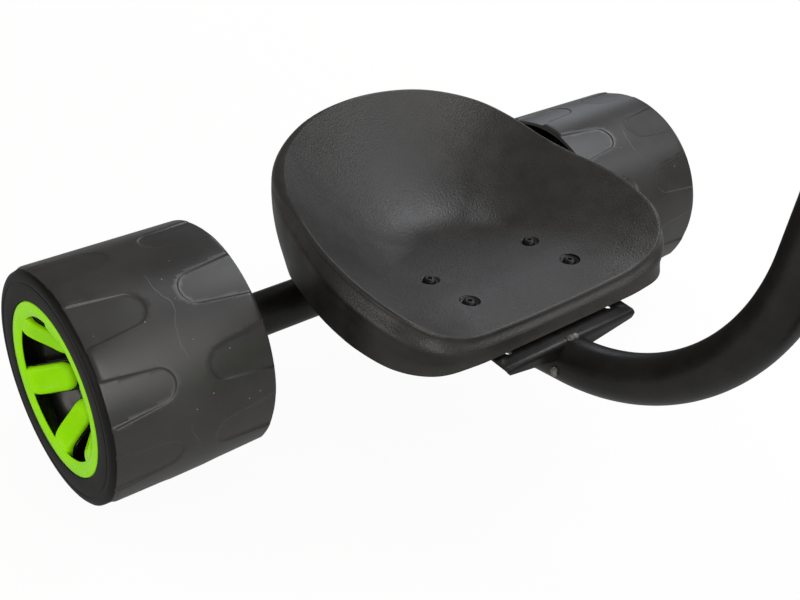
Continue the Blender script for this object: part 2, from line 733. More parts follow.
HUB_RING = raised([
    (HUB_RADIUS, 1.6), (HUB_RADIUS - 0.35, 0.75), (HUB_RADIUS - 1.2, 0.3), (65.5, 0.3), (63.6, 0.42), (62.0, 0.7),
    (60.6, 1.1), (59.4, 1.55), (58.5, 2.05), (58.15, 2.5), (58.4, 3.0), (60, 3.7), (63, 4.4), (69, 5), (HUB_RADIUS, 5),
], OUTER_FACE, -1)
BARREL_BORE = HUB_RADIUS - 5
HUB_BARREL = raised([
    (HUB_RADIUS, 5.2), (HUB_RADIUS, HUB_BARREL_DEPTH - 0.8), (HUB_RADIUS - 0.8, HUB_BARREL_DEPTH),
    (BARREL_BORE + 0.8, HUB_BARREL_DEPTH), (BARREL_BORE, HUB_BARREL_DEPTH - 0.8), (BARREL_BORE, 36), (58, 34),
    (46, 37.5), (36, 39.4), (24, 40), (21.4, 41), (21.4, 46), (16.6, 46), (16.6, 28.5), (17.4, 27.6), (21, 27.6),
    (22.5, 28.4), (24, 31.5), (28, 33.4), (34, 31.6), (40, 27.4), (45, 23.4), (50, 19.6), (55, 16.8), (60, 15),
    (BARREL_BORE, 14.2), (BARREL_BORE, 6), (64, 5.6), (64, 5.2),
], OUTER_FACE, -1)


def tongue_ring(half, end, corner, inset):
    """Points round a tongue, drawn in by an inset, as radial and sideways pairs."""
    half, end, corner = half - inset, end + inset, max(corner - inset, 0.15)
    side = [(u, half) for u in np.linspace(TONGUE_START, end + corner, 26)[:-1]]
    turned = [(end + corner - corner * math.sin(b), half - corner + corner * math.cos(b))
              for b in np.linspace(0, math.pi / 2, 10)]
    one = side + turned
    return np.array(one + [(u, -w) for u, w in reversed(one)])


def tongue_form(half, end, corner, fillet, sink, thickness):
    """A tongue that follows the dish, with shoulders that roll over into its sides."""
    over_fillet = fillet * np.array((1, 0.8, 0.62, 0.46, 0.32, 0.2, 0.1, 0.03, 0))
    drops = [(inset, fillet - math.sqrt(max(fillet ** 2 - max(fillet - inset, 0) ** 2, 0)))
             for inset in (half - 0.2, half - 2, 8.2, 6.6, *over_fillet)]
    rings = []
    for inset, drop in (*drops, (0, fillet + thickness), (half - 0.2, fillet + thickness)):
        flat = tongue_ring(half, end, corner, inset)
        rings.append(np.column_stack((flat, dish_depth(np.hypot(*flat.T)) + sink + drop)))
    count = len(rings[0])
    faces = [(i, i + 1, count - 2 - i, count - 1 - i) for i in range(count // 2 - 1)]
    for k in range(len(rings) - 1):
        low, high = k * count, (k + 1) * count
        faces.extend((low + i, low + i + 1, high + i + 1, high + i) for i in range(count - 1))
    last = (len(rings) - 1) * count
    faces.extend((last + i, last + count - 1 - i, last + count - 2 - i, last + i + 1) for i in range(count // 2 - 1))
    starts = [k * count for k in range(len(rings))]
    faces.append((*starts, *(start + count - 1 for start in reversed(starts))))
    points = np.concatenate(rings)
    return np.column_stack((points[:, 0], OUTER_FACE - points[:, 2], points[:, 1])), faces


def all_tongues(half, end, **rest):
    form = tongue_form(half, end, TONGUE_CORNER, **rest)
    return joined(*[moved(form, turn("Y", -(TONGUE_PHASE + k * math.pi / 3))) for k in range(6)])


def build_rear_wheel(side):
    place = WHEELS[side]
    body = f"rear_wheel_{side}"
    piece(f"tyre_{side}", rear_tyre(), (body, "tyre_plastic", [TREAD, SIDEWALL]), place, sharp=50,
          choose=chosen_by(place, on_sidewall), node=f"rear_tyre_{side}")
    green, black = (body, "green_plastic", GREEN), (body, "tyre_plastic", GLOSS_BLACK)
    piece(f"hub_ring_{side}", lathe(HUB_RING, 160), green, place, sharp=60, node=f"rear_hub_{side}")
    tongues = all_tongues(TONGUE_HALF, TONGUE_END, fillet=4.6, sink=0, thickness=0.5)
    piece(f"hub_tongues_{side}", tongues, green, place, sharp=60)
    under = all_tongues(TONGUE_HALF + 1.3, TONGUE_END - 1.2, fillet=1.4, sink=6.2, thickness=5)
    piece(f"hub_black_tongues_{side}", under, black, place, sharp=60)
    piece(f"hub_barrel_{side}", lathe(HUB_BARREL, 160), black, place, sharp=40)
    boss = tube(16.3, 21.5, OUTER_FACE - HUB_BOSS_END, OUTER_FACE - 46)
    piece(f"hub_boss_{side}", boss, (body, "tyre_plastic", SIDEWALL), place, bevel=0.8)
    for end, face, way in (("outer", OUTER_FACE - BEARING_DEPTH, -1), ("inner", OUTER_FACE - HUB_BOSS_END + 0.3, 1)):
        piece(f"bearing_{end}_{side}", lathe(raised(BEARING_SECTION, face, way), 72),
              (body, "zinc_steel", [ZINC, SEAL]), place, bevel=0.3,
              choose=chosen_by(place, lambda r, y: 9 < r < 13), node=f"rear_bearing_{end}_{side}")


for wheel_side in SIDES:
    build_rear_wheel(wheel_side)


# Axle hardware on each side
def hexagon(radius):
    return [(radius * math.cos(a), radius * math.sin(a)) for a in np.arange(6) * math.pi / 3]


def nut_mesh(radius, bore, low, high, place, collar=0.0):
    """A hexagon nut with turned corners, and a nylon collar if asked."""
    body = solid_mesh(extruded(hexagon(radius), low - 1, high + 1), place)
    turned_down = radius * 0.88
    rise = (radius - turned_down) * 0.7
    cone = lathe([(0, low), (turned_down, low), (radius + 0.3, low + rise), (radius + 0.3, high - rise),
                  (turned_down, high), (0, high)], 72, 0.031)
    tools = [("INTERSECT", solid_mesh(cone, place))]
    if collar:
        tools.append(("UNION", solid_mesh(rod(radius * 0.78, high - 0.5, high + collar, 72, 0.017), place)))
    tools.append(("DIFFERENCE", solid_mesh(rod(bore, low - 5, high + 9, 64, 0.011), place)))
    return worked(body, tools)


AXLE_END = OUTER_FACE - 25
for wheel_side, wheel_place in WHEELS.items():
    washer_low = OUTER_FACE - BEARING_DEPTH + 0.3
    piece(f"washer_{wheel_side}", tube(6.4, 11, washer_low, washer_low + 2), FRAME_ZINC, wheel_place, bevel=0.25,
          node=f"axle_washer_{wheel_side}")
    dressed(f"nut_{wheel_side}", nut_mesh(10.9, 6.3, washer_low + 2.3, washer_low + 9.5, wheel_place, 2.4),
            FRAME_ZINC, sharp=30, node=f"axle_nut_{wheel_side}")
    bush_profile = [(6.3, 176), (16.3, 176), (16.3, 196.3), (19.05, 196.3), (19.05, 200.3), (9.5, 200.3),
                    (9.5, 206.2), (6.3, 206.2)]
    piece(f"bush_{wheel_side}", lathe(bush_profile, 72), FRAME_PAINT, wheel_place, bevel=0.5,
          node=f"axle_bush_{wheel_side}")


# Frame tubes
TUBE_RADIUS = 19.05
AXLE_TUBE_END = OUTER_FACE - HUB_BOSS_END - 10.5
TUBE_RISE = math.radians(10.1)
TUBE_WAY = np.array((math.cos(TUBE_RISE), 0, math.sin(TUBE_RISE)))
UPRIGHT_ANGLE = math.radians(87.8)
UPRIGHT_LENGTH = 265
UPPER_BEND = 115
BRACKET_REAR = 88
BRACKET_FRONT = 221
BRACKET_HALF = 71
BRACKET_TOP = BRACKET_FRONT * math.tan(TUBE_RISE) + TUBE_RADIUS / math.cos(TUBE_RISE)
CROWN_HEIGHT = 24
AXLE_TO_CROWN = FRONT_RADIUS + 38 + CROWN_HEIGHT
HEAD_START = AXLE_TO_CROWN + 8
HEAD_END = HEAD_START + 100
HEAD_MIDDLE = STEER_FOOT + (HEAD_START + HEAD_END) / 2 * UPWARD
HEAD_RADIUS = 20
STEERER_RADIUS = 14.3


def main_tube_path():
    lower_x = WHEELBASE - FRONT_RADIUS - 80
    lower = np.array((lower_x, 0, lower_x * math.tan(TUBE_RISE)))
    reach = (lower_x - BRACKET_FRONT) / math.cos(TUBE_RISE)
    lower_bend = reach / math.tan((UPRIGHT_ANGLE - TUBE_RISE) / 2)
    upper = lower + UPRIGHT_LENGTH * np.array((math.cos(UPRIGHT_ANGLE), 0, math.sin(UPRIGHT_ANGLE)))
    head = HEAD_MIDDLE - (REAR_X, 0, REAR_RADIUS)
    return bent([6 * TUBE_WAY, lower, upper, head], [lower_bend, UPPER_BEND])


main_path = main_tube_path()
piece("main_tube_round", along(main_path, TUBE_RADIUS, 56), FRAME_PAINT, REAR, node="main_tube")
piece("axle_tube_round", tube(TUBE_RADIUS - 2.5, TUBE_RADIUS, -AXLE_TUBE_END, AXLE_TUBE_END), FRAME_PAINT, REAR,
      bevel=0.5, node="rear_axle_tube")
piece("head_tube_round", tube(17.3, HEAD_RADIUS, HEAD_START, HEAD_END), FRAME_PAINT, UP_STEER, bevel=0.5,
      node="head_tube")
axle_profile = [(0, -AXLE_END), (5, -AXLE_END), (6, -AXLE_END + 1), (6, AXLE_END - 1), (5, AXLE_END), (0, AXLE_END)]
piece("axle_rod", lathe(axle_profile, 48), FRAME_ZINC, REAR, node="rear_axle")

rear_joint = joint_line(TUBE_RADIUS, np.zeros(3), TUBE_WAY, TUBE_RADIUS, np.array((0.0, 1.0, 0.0)), 110)
piece("weld_rear", closed_bead(rear_joint, 3.2, 3), FRAME_PAINT, REAR, sharp=80)

main_row = main_path + (REAR_X, 0, REAR_RADIUS)
into_head = main_row[-1] - main_row[-2]
head_joint = joint_line(TUBE_RADIUS, main_row[-1] - HEAD_MIDDLE, -into_head, HEAD_RADIUS, UPWARD, 110)
piece("weld_head", closed_bead(head_joint + HEAD_MIDDLE, 3.0, 4), FRAME_PAINT, sharp=80)


# Seat bracket: a plate folded down at both ends and notched over the main tube
PLATE = 2.5
FOLD = 4


def bracket_section():
    top, front, back = BRACKET_TOP, BRACKET_FRONT, BRACKET_REAR
    outside = [(back, 0), *arc((back + FOLD, top - FOLD), FOLD, 180, 90, 8),
               *arc((front - FOLD, top - FOLD), FOLD, 90, 0, 8), (front, 0)]
    inner = FOLD - PLATE
    inside = [(front - PLATE, 0), *arc((front - FOLD, top - FOLD), inner, 0, 90, 8),
              *arc((back + FOLD, top - FOLD), inner, 90, 180, 8), (back + PLATE, 0)]
    return outside + inside


def bracket_end(foot, low, high):
    """What the plate's ends are trimmed to, seen from the front."""
    lip = BRACKET_TOP - 3.4
    corner = 3.0
    half = [(18.2, foot), (BRACKET_HALF - corner, lip - corner * 0.9), (BRACKET_HALF, lip + 1),
            (BRACKET_HALF, BRACKET_TOP + 20)]
    outline = [(-y, z) for y, z in reversed(half)] + half
    return extruded(outline, low, high, axis=0)


def bracket_foot(x):
    return x * math.tan(TUBE_RISE) + 5.6


def upright_rod(radius, x, y, low, high, segments):
    return moved(rod(radius, low, high, segments), shift(x, y, 0) @ Y_TO_Z)


BOLT_HALF = 55.5
BOLT_ROWS = {"rear": 112, "front": 158}
SPARE_ROW = 204
middle_x = (BRACKET_REAR + BRACKET_FRONT) / 2
bracket_body = solid_mesh(extruded(bracket_section(), -BRACKET_HALF, BRACKET_HALF), REAR)
rear_trim = bracket_end(bracket_foot(BRACKET_REAR), BRACKET_REAR - 20, middle_x)
front_trim = bracket_end(bracket_foot(BRACKET_FRONT), middle_x, BRACKET_FRONT + 20)
trim = worked(solid_mesh(rear_trim, REAR), [("UNION", solid_mesh(front_trim, REAR))])
bracket_tools = [("INTERSECT", trim), ("DIFFERENCE", solid_mesh(along(main_path, TUBE_RADIUS + 0.05, 56), REAR))]
bracket_tools += [("DIFFERENCE", solid_mesh(upright_rod(3.4, x, y, 20, 90, 28), REAR))
                  for x in (*BOLT_ROWS.values(), SPARE_ROW) for y in (-BOLT_HALF, BOLT_HALF)]
bracket_mesh = bevelled(worked(bracket_body, bracket_tools), 0.45, 2, 35)
dressed("bracket_plate", bracket_mesh, FRAME_PAINT, sharp=35, node="seat_bracket")


BEAD_LIFT = 0.6


def around_tube(x, start, end):
    """A line round the main tube at a length, from one angle to another, up being 90 degrees."""
    centre = np.array((x, 0, x * math.tan(TUBE_RISE)))
    up = np.array((-math.sin(TUBE_RISE), 0, math.cos(TUBE_RISE)))
    out = np.array((0, 1.0, 0))
    return [centre + (TUBE_RADIUS + BEAD_LIFT) * (math.cos(a) * out + math.sin(a) * up)
            for a in np.radians(np.linspace(start, end, 22))]


for name, x, start, end, size, seed in (
    ("weld_front_top", BRACKET_FRONT + 0.6, 74, 106, 2.6, 11),
    ("weld_front_right", BRACKET_FRONT + 1.2, 176, 202, 2.8, 12),
    ("weld_front_left", BRACKET_FRONT + 1.2, -22, 4, 2.8, 13),
    ("weld_back_right", BRACKET_REAR - 1.0, 165, 200, 2.8, 14),
    ("weld_back_left", BRACKET_REAR - 1.0, -20, 15, 2.8, 15),
):
    piece(name, bead(around_tube(x, start, end), size, seed), ("frame", "frame_paint", WELD), REAR,
          sharp=80)


# Seat shell
SEAT_REAR = -54
SEAT_LENGTH = 251
SEAT_EDGE = BRACKET_TOP + 3.2
SEAT_BACK_HEIGHT = 84.5
SEAT_PAN_LOW = BRACKET_TOP + 2.2
SEAT_WALL = 4
CREST = [
    (1.000, 0.000, 0.19), (1.000, 0.337, 0.20), (0.999, 0.620, 0.25), (0.977, 0.820, 0.38), (0.904, 0.941, 0.50),
    (0.771, 0.998, 0.57), (0.623, 0.993, 0.60), (0.490, 0.952, 0.61), (0.372, 0.905, 0.65), (0.255, 0.846, 0.73),
    (0.136, 0.704, 0.85), (0.039, 0.414, 0.96), (0.000, 0.000, 1.00),
]
SEAT_STATIONS = 200
LIP, LIP_GAIN = 5.5, 4.5
EDGE, EDGE_IN_FRONT, EDGE_BEHIND = 5.8, 4.2, 4.8
SHOULDER_BULGE = 1.7
LIP_STEPS, WALL_STEPS, INNER_STEPS = 12, 26, 7
UNDER_SHARES = [0.3, 0.5, 0.56, 0.62, 0.68, 0.74, 0.8, 0.86, 0.9, 0.94]
BOWL_START = 0.35
BOWL_EASE = 0.12
BOWL_CORNER = 0.7
RIDGE_RADIUS = 2.3
SEAT_CENTRE_X = SEAT_REAR + 0.53 * SEAT_LENGTH


def pan_height(x):
    return SEAT_PAN_LOW + 17 * smooth((x - 22) / (SEAT_REAR + SEAT_LENGTH - 22))


def closed_spline(knots, count):
    """A smooth closed curve through knots, with its directions."""
    knots = np.array(knots, float)
    total = len(knots)
    places, ways = [], []
    for i in range(count):
        t = i / count * total
        k = int(t)
        w = t - k
        p0, p1, p2, p3 = (knots[(k + j - 1) % total] for j in range(4))
        d0, d1, d2 = (max(np.sum((b - a) ** 2) ** 0.25, 1e-4) for a, b in ((p0, p1), (p1, p2), (p2, p3)))
        m1 = ((p1 - p0) / d0 - (p2 - p0) / (d0 + d1) + (p2 - p1) / d1) * d1
        m2 = ((p2 - p1) / d1 - (p3 - p1) / (d1 + d2) + (p3 - p2) / d2) * d1
        c2 = -3 * p1 + 3 * p2 - 2 * m1 - m2
        c3 = 2 * p1 - 2 * p2 + m1 + m2
        places.append(p1 + m1 * w + c2 * w * w + c3 * w ** 3)
        ways.append(m1 + 2 * c2 * w + 3 * c3 * w * w)
    return np.array(places), np.array(ways)


def bowl_rise(share, behind):
    """How far up the wall a share of the way out is: a long curve behind, a short one at the sides."""
    start = BOWL_START - 0.18 * behind
    corner = BOWL_CORNER + 1.1 * behind
    u = np.maximum(share - start, 0) / (1 - start)
    ease = BOWL_EASE * corner
    return (1 + corner + ease) * u ** 3 / np.maximum(u * (u + corner) + ease, 1e-9)


def seat_stations():
    half = list((SEAT_REAR, 0, SEAT_EDGE) + np.array(CREST) * (SEAT_LENGTH, SEAT_HALF, SEAT_BACK_HEIGHT))
    other_half = [p * (1, -1, 1) for p in reversed(half[1:-1])]
    crest, way = closed_spline(half + other_half, SEAT_STATIONS)
    outward = unit(np.stack((way[:, 1], -way[:, 0], np.zeros(len(way))), axis=1))
    inward = outward[:, 0] * (crest[:, 0] - SEAT_CENTRE_X) + outward[:, 1] * crest[:, 1] < 0
    outward[inward] *= -1
    return crest, outward


def seat_skin_rings():
    crest, outward = seat_stations()
    up = (crest[:, 2] - SEAT_EDGE) / SEAT_BACK_HEIGHT
    rise = smooth((up - 0.56) / 0.24)
    lip = LIP + LIP_GAIN * rise
    drop = 1.2 * lip
    front = np.maximum(outward[:, 0], 0)
    along_seat = (crest[:, 0] - SEAT_REAR) / SEAT_LENGTH
    back = smooth((0.4 - along_seat) / 0.14)
    edge = EDGE + EDGE_IN_FRONT * front - EDGE_BEHIND * back
    shoulder = smooth((along_seat - 0.45) / 0.35)

    def ring(reach, height):
        points = crest + outward * reach[:, None]
        points[:, 2] = height
        return points

    behind = smooth((SEAT_CENTRE_X - crest[:, 0]) / 90)

    def on_pan(share):
        x = SEAT_CENTRE_X + share * (crest[:, 0] - SEAT_CENTRE_X)
        pan = pan_height(x)
        rise_here = np.maximum(crest[:, 2] - pan, 0) * bowl_rise(share, behind)
        return np.stack((x, share * crest[:, 1], pan + rise_here), axis=1)

    tall = crest[:, 2] - SEAT_EDGE
    ridge = RIDGE_RADIUS + (lip - RIDGE_RADIUS) * rise
    ridge_drop = 1.1 * ridge
    bulge_at = np.minimum(15, 3 + 0.32 * tall)

    def wall_reach(t):
        """How far the wall stands out at a share of its way from the lip to the edge."""
        middle = edge + (lip - edge) * 0.74
        return lip * (1 - t) * (1 - 2 * t) + middle * 4 * t * (1 - t) + edge * t * (2 * t - 1)

    def reach_at(down):
        """How far the wall stands out at a depth under the crest."""
        round_part = lip * np.sqrt(np.clip(1 - (1 - np.clip(down / drop, 0, 1)) ** 2, 0, 1))
        wall = wall_reach(np.clip((down - drop) / (tall - drop), 0, 1))
        bulge = SHOULDER_BULGE * shoulder * np.exp(-((down - bulge_at - 1) / 7) ** 2)
        return np.where(down < drop, round_part, wall) + bulge

    outside = [on_pan(s) for s in np.concatenate((np.linspace(0.06, 0.18, 4), np.linspace(0.2, 0.985, 42)))]
    for a in np.linspace(0, math.pi / 2, LIP_STEPS + 1):
        outside.append(ring(ridge * math.sin(a), crest[:, 2] - ridge_drop * (1 - math.cos(a))))
    for k in range(1, WALL_STEPS + 1):
        down = ridge_drop + (tall - ridge_drop) * k / WALL_STEPS
        steep = ridge + 0.14 * (down - ridge_drop)
        share = smooth((down - ridge_drop) / (bulge_at - ridge_drop)) * (1 - rise) + rise
        outside.append(ring(steep + (reach_at(down) - steep) * share, crest[:, 2] - down))
    inside = [ring(edge - SEAT_WALL * share, SEAT_EDGE + lift) for share, lift in ((0.15, 0), (0.85, 0), (1, 1))]
    for k in range(1, INNER_STEPS):
        t = 1 - k / INNER_STEPS
        inside.append(ring(wall_reach(t) - SEAT_WALL, crest[:, 2] - drop + (SEAT_EDGE - crest[:, 2] + drop) * t))
    inside.append(ring(lip * 0.1, crest[:, 2] - SEAT_WALL - drop * 0.75))
    levels = [on_pan(share) for share in UNDER_SHARES]
    for here, following in zip(levels, [level.copy() for level in levels[1:]] + [crest]):
        run = np.hypot(following[:, 0] - here[:, 0], following[:, 1] - here[:, 1])
        slope = np.arctan2(np.maximum(following[:, 2] - here[:, 2], 0), run)
        out = SEAT_WALL * np.sin(slope) / 2 / run
        here[:, :2] += out[:, None] * (following[:, :2] - here[:, :2])
        here[:, 2] -= SEAT_WALL / np.cos(slope) - SEAT_WALL * np.tan(slope) * np.sin(slope) / 2
    return outside + inside + levels[::-1]


def seat_form():
    rings = seat_skin_rings()
    count = SEAT_STATIONS
    middle = np.array((SEAT_CENTRE_X, 0, pan_height(SEAT_CENTRE_X)))
    points = np.concatenate([[middle], *rings, [middle - (0, 0, SEAT_WALL)]])
    faces = []
    for i in range(count):
        after = (i + 1) % count
        faces.append((0, 1 + i, 1 + after))
        for k in range(len(rings) - 1):
            low, high = 1 + k * count, 1 + (k + 1) * count
            faces.append((low + i, high + i, high + after, low + after))
        low = 1 + (len(rings) - 1) * count
        faces.append((low + i, 1 + len(rings) * count, low + after))
    return points, faces


SPOT_DEPTH = 1.2


def spot_height(x):
    return float(pan_height(x)) - SPOT_DEPTH


def spot_tool(x, y):
    """The round dip that a bolt's head sits in, with a soft mouth."""
    low = spot_height(x)
    profile = [(0, 0), (6.9, 0), (7.3, 0.2), (7.5, 0.6), (7.9, 1.1), (8.6, 1.5), (8.6, 12), (0, 12)]
    return moved(lathe([(r, -low - h) for r, h in profile], 48), shift(x, y, 0) @ turn("X", -math.pi / 2))


seat_tools = []
for row_x in BOLT_ROWS.values():
    for bolt_y in (-BOLT_HALF, BOLT_HALF):
        boss = upright_rod(11, row_x, bolt_y, BRACKET_TOP + 0.3, float(pan_height(row_x)) - SEAT_WALL / 2, 48)
        seat_tools.append(("UNION", solid_mesh(boss, REAR)))
        seat_tools.append(("DIFFERENCE", solid_mesh(spot_tool(row_x, bolt_y), REAR)))
        seat_tools.append(("DIFFERENCE", solid_mesh(upright_rod(3.3, row_x, bolt_y, 40, 120, 34), REAR)))
seat_mesh = worked(solid_mesh(seat_form(), REAR), seat_tools)
dressed("seat_moulding", seat_mesh, ("frame", "seat_plastic", SEAT), sharp=45, node="seat_shell")


# Seat bolts: button heads with hexagon sockets, and their nuts under the bracket
SOCKET_FLAT = 2.0


def hex_radius(a, flat):
    """How far out a hexagon's side lies at an angle, for a distance to its flats."""
    return flat / math.cos((a + math.pi / 6) % (math.pi / 3) - math.pi / 6)


def button_bolt(low, tail):
    """A button-head screw about the Y axis, with its head's underside at a height."""
    segments = 48
    angles = np.arange(segments) * WHOLE_TURN / segments
    dome = [(3, 0), (5.2, 0), (5.5, 0.2), (5.6, 0.6), (5.45, 1.2), (5.05, 1.9), (4.5, 2.45), (3.9, 2.85), (3.35, 3.08),
            (3.0, 3.15)]
    rows = [[(r * math.cos(a), y, r * math.sin(a)) for a in angles] for r, y in ((3, tail), *raised(dome, low))]
    socket = [hex_radius(a, SOCKET_FLAT) for a in angles]
    rows += [[(r * math.cos(a), low + h, r * math.sin(a)) for r, a in zip(socket, angles)] for h in (3.05, 1.2)]
    return np.array([p for row in rows for p in row]), quads(len(rows), segments) + ends(len(rows), segments)


for row_name, row_x in BOLT_ROWS.items():
    for side, sign in SIDES.items():
        at = REAR @ shift(row_x, sign * BOLT_HALF, 0) @ Y_TO_Z @ turn("Y", 0.4 + row_x + sign)
        nut_top = BRACKET_TOP - PLATE - 0.3
        piece(f"bolt_{row_name}_{side}", button_bolt(spot_height(row_x) + 0.3, nut_top - 7.5),
              ("frame", "black_steel", [BOLT, SOCKET]), at, sharp=32,
              choose=chosen_by(at, lambda r, y: r < 2.6 and y > BRACKET_TOP), node=f"seat_bolt_{row_name}_{side}")
        dressed(f"nut_{row_name}_{side}", nut_mesh(5.8, 3.1, nut_top - 5, nut_top, at), FRAME_ZINC, sharp=30,
                node=f"seat_nut_{row_name}_{side}")

# Headset and fork, along the steering axis
CUP_RADIUS = 22.5
for name, seat_at, way in (("lower", HEAD_START, -1), ("upper", HEAD_END, 1)):
    profile = [(14.9, -10), (16.7, -10), (16.7, 0.3), (CUP_RADIUS, 0.3), (CUP_RADIUS, 4.8), (CUP_RADIUS - 1.6, 7.7),
               (19.8, 7.7), (19.8, 2), (14.9, 2)]
    piece(f"headset_cup_ring_{name}", lathe(raised(profile, seat_at, way), 96),
          ("frame", "black_steel", OXIDE), UP_STEER, bevel=0.3, node=f"headset_cup_{name}")

STEM_HALF = 20
STEM_START = HEAD_END + 8 + 8 + 0.3
STEM_MIDDLE = STEM_START + STEM_HALF
STEM_END = STEM_MIDDLE + STEM_HALF
cover = raised([(14.7, 0), (20.9, 0), (20.9, 1.6), (18.6, 3.4), (18.6, 7.7), (14.7, 7.7)], HEAD_END + 8.3)
piece("headset_dust_cover", lathe(cover, 96), STEERING_BLACK, UP_STEER, bevel=0.4, node="headset_cover")

FORK_HALF = 50
LEG_RADIUS = 12.5
DROPOUT_HALF = 7
DROPOUT_WELD_RADIUS = 26.4


def rounded_box(half_x, half_y, low, high, corner, steps=8):
    """A block along Z with rounded upright corners."""
    return extruded(rounded(half_x, half_y, corner, steps), high, low, axis=2)


crown = rounded_box(17, FORK_HALF + LEG_RADIUS + 3, AXLE_TO_CROWN - CROWN_HEIGHT, AXLE_TO_CROWN, 11)
piece("fork_crown", crown, STEERING_PAINT, STEER, bevel=2.2, steps=4, node="fork")
piece("fork_steerer", tube(11.8, STEERER_RADIUS, AXLE_TO_CROWN - 12, STEM_END), STEERING_PAINT, UP_STEER,
      bevel=0.4)
for side, sign in SIDES.items():
    leg_path = bent([(0, sign * FORK_HALF, AXLE_TO_CROWN - 6), (0, sign * FORK_HALF, 90),
                     (FORK_OFFSET, sign * FORK_HALF, 25.5)], [160])
    leg_radii = np.interp(leg_path[:, 2], [25, 60, 110], [10.2, 11.4, LEG_RADIUS])
    piece(f"fork_leg_{side}", along(leg_path, leg_radii, 44), STEERING_PAINT, STEER, bevel=0.5)
    ring = tube(20.3, 26.3, -DROPOUT_HALF, DROPOUT_HALF)
    piece(f"dropout_{side}", moved(ring, shift(FORK_OFFSET, sign * FORK_HALF, 0)), STEERING_PAINT, STEER, bevel=1.0,
          steps=3)
    low_ring = np.array([(LEG_RADIUS * math.cos(a), sign * FORK_HALF + LEG_RADIUS * math.sin(a), AXLE_TO_CROWN - 24.4)
                         for a in np.linspace(0, WHOLE_TURN, 90, endpoint=False)])
    piece(f"weld_leg_{side}", closed_bead(low_ring, 2.4, 20 + sign), STEERING_PAINT, STEER, sharp=80)
    for edge_side in (-1, 1):
        line = [(FORK_OFFSET + DROPOUT_WELD_RADIUS * math.cos(a), sign * FORK_HALF + edge_side * 6.4,
                 DROPOUT_WELD_RADIUS * math.sin(a)) for a in np.radians(np.linspace(30, 150, 26))[7:19] + 0.18]
        piece(f"weld_dropout_{side}_{'in' if edge_side * sign < 0 else 'out'}",
              bead(line, 2.0, 30 + sign + edge_side), STEERING_PAINT, STEER, sharp=80)


# Front wheel: a moulded six-spoke wheel with a ribbed rubber tyre
RIM_SEAT = FRONT_RADIUS - 43
RIM_OUTER = RIM_SEAT + 6
RIM_INNER = RIM_SEAT - 11
SPOKE_HALF = 12
TYRE_HALF = 23


def front_rim_form():
    half = 18
    upper = [(RIM_INNER + 1.5, 7.5), (RIM_INNER, 9), (RIM_INNER, half - 1), (RIM_INNER + 1, half),
             (RIM_OUTER - 1, half), (RIM_OUTER, half - 1), (RIM_OUTER - 0.4, half - 2.4), (RIM_SEAT + 1, half - 2.6),
             (RIM_SEAT, half - 3.6)]
    return lathe([*upper, (RIM_SEAT - 2.4, 7.8), (RIM_SEAT - 2.4, -7.8), *mirrored(upper)], 192)


def front_web_mesh():
    half = [(8.8, 31), (9.8, 32), (23.5, 32), (25, 30.5), (27, 22), (29.5, 16.5), (34, 12.8), (44, 10), (100, 8),
            (RIM_INNER - 6, 7.4), (RIM_INNER + 2, 8.6)]
    outer, inner = RIM_INNER - 9, 46
    far, near = (math.degrees(math.pi / 6 - math.asin(SPOKE_HALF / r)) for r in (outer, inner))
    window = extruded(arc((0, 0), outer, -far, far, 30) + arc((0, 0), inner, near, -near, 12), -40, 40)
    tools = [("DIFFERENCE", solid_mesh(moved(window, turn("Y", -(k + 0.5) * math.pi / 3)))) for k in range(6)]
    return worked(solid_mesh(lathe(half + mirrored(half), 180)), tools, softened=True)


piece("front_rim", front_rim_form(), WHEEL_GREEN, FRONT, node="front_wheel")
web = front_web_mesh()
web.transform(Matrix.Translation(FRONT_AXLE * MM))
dressed("front_spokes", web, WHEEL_GREEN, sharp=180)


def front_tyre_form():
    base = RIM_SEAT + 0.3
    height = FRONT_RADIUS - base
    side = [(0.3, 0.86), (0.42, 0.96), (0.52, 1.0), (0.62, 0.995), (0.71, 0.965), (0.78, 0.91), (0.83, 0.85),
            (0.872, 0.78), (0.905, 0.70), (0.93, 0.61), (0.952, 0.52)]
    ribs = [(0.962, 10.6), (0.932, 10.2), (0.934, 8.6), (0.981, 8.2), (0.99, 6), (0.996, 4.2), (0.962, 3.9),
            (0.962, 2.1), (1.0, 1.8)]
    outer = [(base, 15.2), (RIM_OUTER + 0.3, 15.3), (RIM_OUTER + 2.2, 16.6), (RIM_OUTER + 4, 18.6),
             *[(base + height * a, TYRE_HALF * b) for a, b in side], *[(base + height * a, y) for a, y in ribs]]
    inner = [(base, 11.7), (base + height * 0.5, 19.5), (base + height * 0.75, 15), (FRONT_RADIUS - 4.5, 4)]
    return lathe([*outer, *mirrored(outer), *[(r, -y) for r, y in inner], *reversed(inner)], 216)


piece("front_tyre_ribbed", front_tyre_form(), ("front_wheel", "tyre_rubber", RUBBER), FRONT, sharp=40,
      node="front_tyre")
axle_round = lathe([(0, -58), (7.5, -58), (8.5, -57), (8.5, 57), (7.5, 58), (0, 58)], 56)
axle_ends = [extruded([(-5.6, -5.6), (5.6, -5.6), (5.6, 5.6), (-5.6, 5.6)], low, high)
             for low, high in ((-78, -57.5), (57.5, 78))]
piece("front_spindle", joined(axle_round, *axle_ends), WHEEL_BLACK, FRONT, bevel=0.5, node="front_axle")
for side, sign in SIDES.items():
    half = [(8.8, -6), (11.6, -6), (12, -5.4), (16.6, -5.4), (17, -6), (20, -6)]
    profile = raised(half + mirrored(half), sign * FORK_HALF)
    piece(f"front_bearing_ring_{side}", lathe(profile, 72), ("steering", "zinc_steel", [ZINC, SEAL]), FRONT,
          bevel=0.2, choose=chosen_by(FRONT, lambda r, y: 11.8 < r < 16.8), node=f"front_bearing_{side}")

